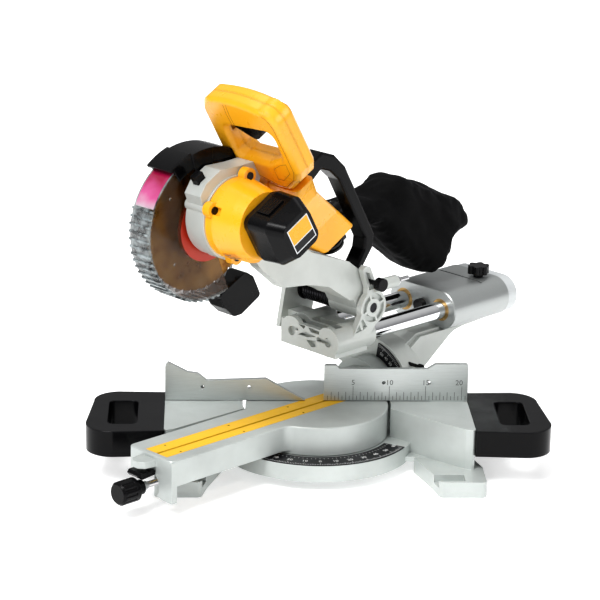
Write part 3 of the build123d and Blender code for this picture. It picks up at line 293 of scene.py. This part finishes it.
def bag_cloth():
    """Black woven bag cloth: two crossing threads, sheen and faint patchy dust."""
    tree = Tree("bag_woven_cloth", Sheen_Weight=0.05, Sheen_Roughness=0.45)
    tree.shader.inputs["Sheen Tint"].default_value = (0.5, 0.5, 0.55, 1)
    tree.shader.inputs["Specular IOR Level"].default_value = 0.12
    threads = []
    for direction in ("X", "Z"):
        wave = tree.add("ShaderNodeTexWave", bands_direction=direction)
        wave.inputs["Scale"].default_value = 420.0
        wave.inputs["Distortion"].default_value = 0.6
        wave.inputs["Detail Scale"].default_value = 2.0
        tree.link(tree.coords, wave, "Vector")
        threads.append(wave.outputs["Fac"])
    weave = tree.math("MAXIMUM", threads[0], threads[1])
    dust = tree.noise(16.0, 5.0)
    blacks = [(0.35, (0.001, 0.001, 0.0012)), (0.8, (0.004, 0.004, 0.004))]
    tree.set("Base Color", tree.ramp(dust, blacks))
    tree.set("Roughness", tree.ramp(weave, [(0.2, grey(0.95)), (0.9, grey(0.72))]))
    tree.set("Normal", tree.bump(weave, 0.55, 0.25))
    return tree.material


def studio_floor():
    """Matt white paper."""
    tree = Tree("studio_paper", Roughness=0.9, Emission_Strength=0.42)
    tree.shader.inputs["Emission Color"].default_value = (1, 1, 1, 1)
    tree.set("Base Color", tree.ramp(tree.noise(3.0), [(0.3, grey(0.86)), (0.7, grey(0.88))]))
    tree.shader.inputs["Specular IOR Level"].default_value = 0.1
    return tree.material


GREY = (0.52, 0.555, 0.54)
YELLOW = (0.90, 0.42, 0.012)
casting = cast_metal("grey_casting", GREY)
arm_casting = cast_metal("pale_casting", (0.56, 0.585, 0.56), 0.42, 0.3, 0.45)
fence_metal = brushed_metal("machined_fence", (0.56, 0.59, 0.58), 0.0, 0.42)
housing_metal = brushed_metal("machined_housing", (0.47, 0.49, 0.485), 42.0, 0.40)
cap_metal = cast_metal("frosted_cap", (0.62, 0.645, 0.65), 0.38, 0.3)
yellow = moulded_plastic("yellow_shell", YELLOW, 0.30, 0.10, 1.6, 1.12, 0.25)
yellow_grip = moulded_plastic("yellow_grip", YELLOW, 0.28, 0.08, 6.0, 1.0, 0.3)
black = moulded_plastic("black_moulding", (0.004, 0.004, 0.0045), 0.22, 0.12, 1.6, 4.0, 0.0, 0.16)
black_handle = moulded_plastic("black_handle", (0.003, 0.003, 0.0035), 0.18, 0.08, 3.0, 4.0, 0.0, 0.16)
rubber = moulded_plastic("soft_rubber", (0.005, 0.005, 0.005), 0.30, 0.2, 0.8, 3.0, 0.0, 0.3)
kerf = moulded_plastic("kerf_board", (0.86, 0.50, 0.02), 0.45, 0.30, 0.4, 1.15)
red_hub = moulded_plastic("red_hub", (0.42, 0.025, 0.006), 0.33, 0.1, 0.8, 1.3)
printed = moulded_plastic("printed_scale", (0.006, 0.006, 0.008), 0.36, 0.1, 0.2, 1.5, 0.0, 0.3)
chrome = polished_steel("chromed_tube", (0.86, 0.87, 0.88), 0.05)
steel = polished_steel("ground_steel", (0.60, 0.60, 0.61), 0.25)
dark_steel = polished_steel("blackened_steel", (0.035, 0.035, 0.038), 0.32)
bronze = polished_steel("sintered_bronze", (0.50, 0.33, 0.14), 0.35)
iron = cast_metal("laminated_iron", (0.16, 0.16, 0.17), 0.5, 0.7)
blade = blade_steel()
smoky = smoky_guard()
window = clear_window()
cloth = bag_cloth()
ink_white = moulded_plastic("ink_white", (0.80, 0.81, 0.80), 0.5, 0.1, 0.1, 1.0)
ink_dark = moulded_plastic("ink_dark", (0.10, 0.105, 0.105), 0.5, 0.1, 0.1, 1.0)
# Painted shadow: dark orange strips for the shade in the handle's moulded lines.
painted_seam_shadow = moulded_plastic("seam_shadow", (0.24, 0.085, 0.004), 0.6, 0.1, 0.1, 1.0)
label_yellow = moulded_plastic("label_yellow", (0.80, 0.40, 0.01), 0.25, 0.1, 0.2, 1.0)
label_orange = moulded_plastic("label_orange", (0.72, 0.26, 0.008), 0.3, 0.1, 0.2, 1.0)
label_silver = polished_steel("label_silver", (0.62, 0.63, 0.64), 0.22)

FINISH = {
    "base_casting": casting, "mitre_scale_plate": printed, "side_handles": black_handle,
    "fence_right": fence_metal, "fence_slide_base": casting, "fence_left": fence_metal,
    "fence_screws": dark_steel, "mitre_pivot_bolt": steel, "turntable_casting": casting,
    "kerf_plates": kerf, "kerf_screws": dark_steel, "mitre_lock_knob": black,
    "mitre_lock_screw": steel, "detent_lever": black, "bevel_shaft": steel,
    "bevel_arm": arm_casting, "bevel_scale": printed, "bevel_stop_pin": black,
    "bevel_lock_lever": black, "rail_housing": housing_metal, "rail_bushes": bronze,
    "slide_bumper": rubber, "rail_lock_knob": black, "slide_rails": chrome,
    "rail_end_cap": cap_metal, "carriage_bracket": arm_casting, "head_pivot_pin": dark_steel,
    "depth_stop_screw": steel, "head_lock_pin": black, "torsion_spring": dark_steel,
    "spring_bush": black, "head_arm": arm_casting, "gearcase": arm_casting,
    "motor_housing": yellow, "motor_screws": dark_steel, "motor_stator": iron,
    "motor_rotor": iron, "motor_bearings": steel, "drive_gear": steel, "arbor": steel,
    "saw_blade": blade, "blade_flanges": steel, "arbor_bolt": dark_steel,
    "upper_guard": black_handle, "lower_guard": smoky, "guard_window": window,
    "guard_hub": red_hub, "guard_shoe": black, "handle_shell_front": yellow_grip,
    "handle_shell_rear": yellow_grip, "trigger": black, "lock_off_button": black,
    "rear_shroud": yellow, "dust_duct": rubber, "carry_handle": black_handle,
    "spindle_lock": black, "bag_collar": black, "dust_bag": cloth,
    "battery_pack": black, "battery_latch": black,
}
for name, finish in FINISH.items():
    mesh = nodes[name].data
    mesh.materials.clear()
    mesh.materials.append(finish)


# ---- mesh helpers, in millimetres in one of the three frames -------------------------------------
def piece(name, verts, faces, place, body, finish, smooth=False):
    """One visible piece made from points in millimetres, riding on a body."""
    mesh = bpy.data.meshes.new(name)
    mesh.from_pydata([place @ SCALE @ Vector(v) for v in verts], [], faces)
    mesh.validate()
    mesh.materials.append(finish)
    if smooth:
        mesh.polygons.foreach_set("use_smooth", [True] * len(mesh.polygons))
    thing = bpy.data.objects.new(name, mesh)
    bpy.context.scene.collection.objects.link(thing)
    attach(thing, body)
    return thing


class Shape:
    """A growing list of points and faces."""

    def __init__(self):
        self.verts = []
        self.faces = []

    def block(self, corners, rise):
        """A prism from a list of corner points, raised along the vector rise."""
        start = len(self.verts)
        count = len(corners)
        low = [Vector(c) for c in corners]
        self.verts += low + [c + Vector(rise) for c in low]
        self.faces.append([start + k for k in reversed(range(count))])
        self.faces.append([start + count + k for k in range(count)])
        for k in range(count):
            nxt = (k + 1) % count
            self.faces.append([start + k, start + nxt, start + count + nxt, start + count + k])

    def add_mesh(self, mesh, place):
        """Copies a mesh in, its points moved by a matrix."""
        start = len(self.verts)
        self.verts += [place @ v.co for v in mesh.vertices]
        self.faces += [[start + k for k in p.vertices] for p in mesh.polygons]


def figure_mesh(text, size):
    """Figures as a thin flat mesh, centred, reading along +X with +Y up."""
    curve = bpy.data.curves.new("figures", "FONT")
    curve.body = text
    curve.size = size
    curve.extrude = 0.06
    curve.align_x = "CENTER"
    curve.align_y = "CENTER"
    curve.resolution_u = 3
    holder = bpy.data.objects.new("figures", curve)
    mesh = bpy.data.meshes.new_from_object(holder)
    bpy.data.objects.remove(holder)
    return mesh


# ---- printed scales --------------------------------------------------------------------------------
def ribbon(shape, path, width, normal, rise, closed=False):
    """A flat strip of constant width along a path, lying on a face with the given normal."""
    points = [Vector(p) for p in path]
    count = len(points)
    last = count if closed else count - 1
    for index in range(last):
        first, second = points[index], points[(index + 1) % count]
        side = (second - first).normalized().cross(Vector(normal)) * width / 2
        along = (second - first).normalized() * width / 3
        start, end = first - along, second + along
        corners = [start + side, start - side, end - side, end + side]
        shape.block(corners, Vector(normal) * rise)


def fence_ruler():
    """The ruler on the right fence: half-centimetre ticks and figures every five centimetres."""
    ticks = Shape()
    for step in range(3, 42):
        x = 5 * step
        height = 8.0
        if step % 2 == 0:
            height = 13.5
        if step % 10 == 0:
            height = 22.0
        corners = [(x - 0.35, FENCE_FACE_Y, z) for z in (2, height)]
        corners += [(x + 0.35, FENCE_FACE_Y, z) for z in (height, 2)]
        ticks.block(corners, (0, -0.08, 0))
    for figure in (5, 10, 15, 20):
        shift = -4 if figure == 20 else 0
        place = Matrix.Translation((10 * figure + shift, FENCE_FACE_Y - 0.05, 27))
        upright = Matrix.Rotation(math.pi / 2, 4, "X")
        ticks.add_mesh(figure_mesh(str(figure), 10.5), place @ upright)
    piece("fence_ruler_marks", ticks.verts, ticks.faces, TABLE, "base", ink_dark)


def dial_tick(shape, radius, length, angle, width=0.45):
    """One radial tick on a flat dial, its outer end at the given radius."""
    ray = Vector((math.cos(angle), math.sin(angle), 0))
    side = Vector((-ray.y, ray.x, 0)) * width / 2
    inner, outer = ray * (radius - length), ray * radius
    shape.block([inner - side, outer - side, outer + side, inner + side], (0, 0, 0.08))


def mitre_scale_marks():
    """The degree marks and figures on the flat scale round the turntable."""
    marks = Shape()
    level = Matrix.Translation((0, 0, SCALE_TOP))
    for degree in range(-60, 61):
        angle = math.radians(degree - 90)
        length = 3.0
        if degree % 5 == 0:
            length = 4.5
        if degree % 10 == 0:
            length = 6.5
        dial_tick(marks, MITRE_OUTER_TICKS, length, angle)
        if degree % 3 == 0:
            dial_tick(marks, MITRE_INNER_TICKS, 3.0, angle)
        if degree % 10 == 0:
            turn = Matrix.Rotation(angle + math.pi / 2, 4, "Z")
            place = turn @ Matrix.Translation((0, -MITRE_FIGURES, 0.05))
            marks.add_mesh(figure_mesh(str(abs(degree)), 8.0), place)
    verts = [level @ v for v in marks.verts]
    piece("mitre_scale_marks", verts, marks.faces, TABLE, "base", ink_white)


def bevel_scale_marks():
    """The degree marks on the curved scale at the front of the bevel drum."""
    marks = Shape()
    for degree in range(BEVEL_FIRST + 2, 80, 2):
        angle = math.radians(degree)
        length = 7.0 if degree % 10 == 0 else 4.0
        dial_tick(marks, BEVEL_TICKS, length, angle)
        if degree % 10 == 0:
            turn = Matrix.Rotation(angle - math.pi / 2, 4, "Z")
            place = turn @ Matrix.Translation((0, BEVEL_FIGURES, 0.05))
            marks.add_mesh(figure_mesh(str(degree - BEVEL_FIRST), 6.5), place)
    stand = Matrix.Translation((0, BEVEL_SCALE_Y, 0)) @ Matrix.Rotation(math.pi / 2, 4, "X")
    verts = [stand @ Vector(v) for v in marks.verts]
    piece("bevel_scale_marks", verts, marks.faces, ARM, "bevel_head", ink_white)


def handle_lines():
    """The moulded lines on the front of the D-handle, drawn as dark strips of painted shadow."""
    lines = Shape()
    face = GRIP_FRONT - 0.05
    front = (0, -1, 0)
    edge = [(112, 138), (121, 133), (127, 120), (129, 51), (122, 37), (102, 21), (88, 21), (20, 40)]
    ribbon(lines, [(x, face, z) for x, z in edge], 0.7, front, 0.1)
    for x in (47, 52):
        ribbon(lines, [(x, face, 110.5), (x - 1.5, face, 126), (x, face, 142)], 0.6, front, 0.1)
    diamond = [(92, 32), (102, 32), (120, 47), (120, 62), (108, 58), (92, 48)]
    ribbon(lines, [(x, face, z) for x, z in diamond], 0.6, front, 0.1, True)
    name, slot = "handle_moulded_lines", "yellow_plastic"
    piece(name, lines.verts, lines.faces, HEAD, "saw_head", painted_seam_shadow)


def motor_band(shape, x0, x1, start, end, lift):
    """A patch that follows the motor can between two angles about its axis."""
    steps = 8
    base = len(shape.verts)
    for step in range(steps + 1):
        turn = math.radians(start + (end - start) * step / steps)
        for x in (x0, x1):
            radius = MOTOR_RADIUS - (x - MOTOR_TAPER_X) * MOTOR_TAPER + lift
            y = MOTOR_Y + radius * math.cos(turn)
            z = MOTOR_Z + radius * math.sin(turn)
            shape.verts.append(Vector((x, y, z)))
    for step in range(steps):
        low = base + 2 * step
        shape.faces.append([low, low + 1, low + 3, low + 2])


def motor_plate():
    """A plain rating plate on the motor can, with bars in place of its wording."""
    plate, bars = Shape(), Shape()
    motor_band(plate, 72, 93, 196, 236, 0.15)
    for row in range(6):
        motor_band(bars, 74, 84 + 3 * (row % 3), 200 + 6 * row, 202 + 6 * row, 0.3)
    for name, band, finish, slot, smooth in (
        ("motor_plate", plate, label_orange, "yellow_plastic", True),
        ("motor_plate_bars", bars, ink_dark, "black_plastic", False),
    ):
        piece(name, band.verts, band.faces, HEAD, "saw_head", finish, smooth)


def battery_label():
    """A plain label on the end of the battery: a silver frame, a yellow field and a dark strip."""
    for name, low, high, lift, finish in (
        ("battery_label_frame", (5, -9), (43, 27), 0.25, label_silver),
        ("battery_label_field", (6.5, 4), (41.5, 25.5), 0.45, label_yellow),
        ("battery_label_strip", (6.5, -7.5), (41.5, 2.5), 0.45, printed),
    ):
        plate = Shape()
        corners = [(low[0], low[1]), (high[0], low[1]), (high[0], high[1]), (low[0], high[1])]
        plate.block([(PACK_END, y, z) for y, z in corners], (lift, 0, 0))
        piece(name, plate.verts, plate.faces, HEAD, "battery", finish)


fence_ruler()
mitre_scale_marks()
bevel_scale_marks()
handle_lines()
motor_plate()
battery_label()


# ---- the dust bag ----------------------------------------------------------------------------------
BAG_START = 0.975
BAG_VOXEL = 6.0
BAG_MOVE_CAP = 9.0
BAG_FOLD = 2.6


def settled_cloth(bag):
    """Inflates the bag a little as cloth and returns the settled point positions."""
    cloth_mod = bag.modifiers.new("cloth", "CLOTH")
    settings = cloth_mod.settings
    settings.quality = 5
    settings.mass = 0.25
    settings.tension_stiffness = 12.0
    settings.compression_stiffness = 8.0
    settings.bending_stiffness = 0.8
    settings.use_pressure = True
    settings.uniform_pressure_force = 4.0
    settings.effector_weights.gravity = 0.0
    scene = bpy.context.scene
    for number in range(1, 21):
        scene.frame_set(number)
    shown = bag.evaluated_get(bpy.context.evaluated_depsgraph_get())
    places = [v.co.copy() for v in shown.data.vertices]
    bag.modifiers.remove(cloth_mod)
    scene.frame_set(1)
    return places


def dust_bag():
    """The cloth bag: the plain solid shrunk, rounded, blown up as cloth and creased."""
    mesh = nodes["dust_bag"].data.copy()
    mesh.name = "dust_bag_cloth"
    count = len(mesh.vertices)
    centre = sum((v.co for v in mesh.vertices), Vector()) / count
    for vertex in mesh.vertices:
        vertex.co = centre + (vertex.co - centre) * BAG_START
    bag = bpy.data.objects.new("dust_bag_cloth", mesh)
    bpy.context.scene.collection.objects.link(bag)
    voxels = bag.modifiers.new("voxels", "REMESH")
    voxels.mode = "VOXEL"
    voxels.voxel_size = BAG_VOXEL * MM
    rounder = bag.modifiers.new("rounder", "SMOOTH")
    rounder.factor = 0.6
    rounder.iterations = 6
    shown = bag.evaluated_get(bpy.context.evaluated_depsgraph_get())
    bag.data = bpy.data.meshes.new_from_object(shown)
    bag.modifiers.clear()
    bag.data.materials.clear()
    bag.data.materials.append(cloth)
    for vertex, place in zip(bag.data.vertices, settled_cloth(bag)):
        move = place - vertex.co
        if move.length > BAG_MOVE_CAP * MM:
            move *= BAG_MOVE_CAP * MM / move.length
        vertex.co += move
    crumple(bag.data)
    bag.data.polygons.foreach_set("use_smooth", [True] * len(bag.data.polygons))
    finer = bag.modifiers.new("finer", "SUBSURF")
    finer.levels = 1
    finer.render_levels = 1
    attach(bag, "bag")
    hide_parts("dust_bag")


def crumple(mesh):
    """Soft creases that run across the bag."""
    from_world = ARM.inverted()
    for vertex, normal in [(v, v.normal.copy()) for v in mesh.vertices]:
        local = from_world @ vertex.co / MM
        slow = noise.noise(Vector((local.x / 40, local.y / 30, local.z / 55)))
        across = Vector((local.x / 30 + 7, (local.y + local.z) / 24, local.y / 60))
        crease = 1.0 - abs(noise.noise(across))
        vertex.co += normal * (slow * 2.0 - crease ** 6 * BAG_FOLD) * MM


dust_bag()


# ---- studio and camera -----------------------------------------------------------------------------
CAMERA_PLACE = (-0.1632, -3.0669, 1.1803)
CAMERA_YAW, CAMERA_DOWN, CAMERA_ROLL = 2.566, 17.263, 1.079
CAMERA_LENS = 142.5


def camera_axes():
    """The camera's right, up and view directions from its yaw, pitch and roll."""
    yaw = math.radians(CAMERA_YAW)
    down = math.radians(CAMERA_DOWN)
    roll = math.radians(CAMERA_ROLL)
    view = Vector((math.sin(yaw) * math.cos(down), math.cos(yaw) * math.cos(down), -math.sin(down)))
    level = Vector((math.cos(yaw), -math.sin(yaw), 0))
    above = level.cross(view)
    right = level * math.cos(roll) + above * math.sin(roll)
    up = above * math.cos(roll) - level * math.sin(roll)
    return right, up, view


def set_camera():
    right, up, view = camera_axes()
    data = bpy.data.cameras.new("main_camera")
    data.lens = CAMERA_LENS
    data.sensor_width = 36.0
    camera = bpy.data.objects.new("main_camera", data)
    bpy.context.scene.collection.objects.link(camera)
    turn = Matrix((right, up, -view)).transposed().to_4x4()
    camera.matrix_world = Matrix.Translation(CAMERA_PLACE) @ turn
    bpy.context.scene.camera = camera


def area_light(name, place, aim, size, power, colour=(1, 1, 1)):
    data = bpy.data.lights.new(name, "AREA")
    data.shape = "RECTANGLE"
    data.size, data.size_y = size
    data.energy = power
    data.color = colour
    lamp = bpy.data.objects.new(name, data)
    bpy.context.scene.collection.objects.link(lamp)
    aim_turn = (Vector(aim) - Vector(place)).to_track_quat("-Z", "Y")
    lamp.matrix_world = Matrix.Translation(place) @ aim_turn.to_matrix().to_4x4()


def sun_light(name, direction, strength, softness):
    data = bpy.data.lights.new(name, "SUN")
    data.energy = strength
    data.angle = math.radians(softness)
    lamp = bpy.data.objects.new(name, data)
    bpy.context.scene.collection.objects.link(lamp)
    lamp.matrix_world = Vector(direction).to_track_quat("-Z", "Y").to_matrix().to_4x4()


def set_studio():
    bpy.ops.mesh.primitive_plane_add(size=30.0, location=(0, 0, 0))
    floor = bpy.context.object
    floor.name = "studio_floor"
    floor.data.materials.append(studio_floor())
    area_light("key_left", (-1.5, -1.6, 2.3), (0, 0, 0.2), (1.2, 0.9), 24.0)
    area_light("fill_right", (2.2, -1.4, 1.6), (0, 0, 0.2), (0.8, 1.4), 12.0)
    area_light("top", (0.1, 0.6, 2.6), (0, 0, 0.2), (1.8, 1.0), 9.0)
    sun_light("sun_high", (0.35, 0.5, -1.0), 1.5, 20.0)
    world = bpy.data.worlds.new("studio_world")
    bpy.context.scene.world = world
    world.use_nodes = True
    tree = world.node_tree
    coords = tree.nodes.new("ShaderNodeTexCoord")
    split = tree.nodes.new("ShaderNodeSeparateXYZ")
    ramp = tree.nodes.new("ShaderNodeValToRGB")
    ramp.color_ramp.elements[0].position = 0.0
    ramp.color_ramp.elements[0].color = (0.30, 0.30, 0.31, 1)
    ramp.color_ramp.elements[1].position = 0.75
    ramp.color_ramp.elements[1].color = (1.0, 1.0, 1.0, 1)
    tree.links.new(coords.outputs["Generated"], split.inputs["Vector"])
    tree.links.new(split.outputs["Z"], ramp.inputs["Fac"])
    tree.links.new(ramp.outputs["Color"], tree.nodes["Background"].inputs["Color"])
    tree.nodes["Background"].inputs["Strength"].default_value = 0.55
    bpy.context.scene.view_settings.view_transform = "Standard"
    bpy.context.scene.view_settings.look = "Medium High Contrast"


set_camera()
set_studio()
